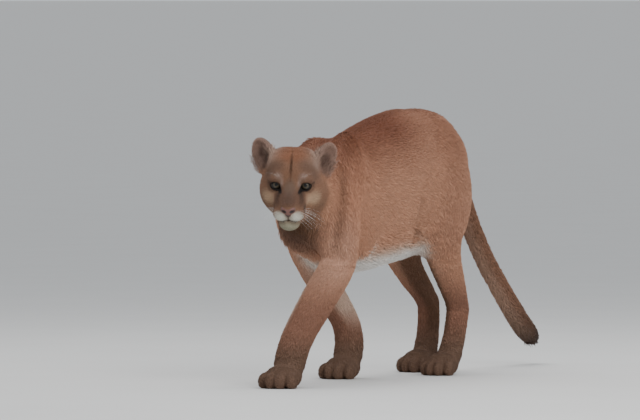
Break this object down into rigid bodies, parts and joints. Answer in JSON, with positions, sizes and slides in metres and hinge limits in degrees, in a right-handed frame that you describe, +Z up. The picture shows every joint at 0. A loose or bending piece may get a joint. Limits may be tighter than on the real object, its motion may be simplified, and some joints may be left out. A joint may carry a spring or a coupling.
{
  "type": "cougar",
  "caption": "Life-size cougar in mid-stride, head low and turned to its left, long tail hanging behind, standing on four paws.",
  "frame": {"origin": "middle of the foot of the box that holds the animal, on the floor", "axes": "+X from head to tail, +Y towards the animal's right side, +Z up"},
  "size_m": [1.5318, 0.262, 0.6685],
  "materials": {
    "coat": "short dense tawny fur, pale on the belly, muzzle and chin, dark at the end of the tail",
    "eye": "wet grey-olive eye with a round black pupil",
    "nose": "bare pink-brown nose leather"
  },
  "bodies": {
    "root": {"nose": "nose", "left_eye": "eye", "right_eye": "eye", "left_ear": "coat", "right_ear": "coat", "lower_jaw": "coat", "muzzle": "coat", "face": "coat", "head": "coat", "neck": "coat", "left_forepaw": "coat", "right_forepaw": "coat", "left_hindpaw": "coat", "right_hindpaw": "coat", "left_forearm": "coat", "right_forearm": "coat", "left_shank": "coat", "right_shank": "coat", "tail_tip": "coat", "tail_middle": "coat", "tail_base": "coat", "left_upper_foreleg": "coat", "right_upper_foreleg": "coat", "left_thigh": "coat", "right_thigh": "coat", "rump": "coat", "loin": "coat", "chest": "coat"}
  },
  "joints": []
}
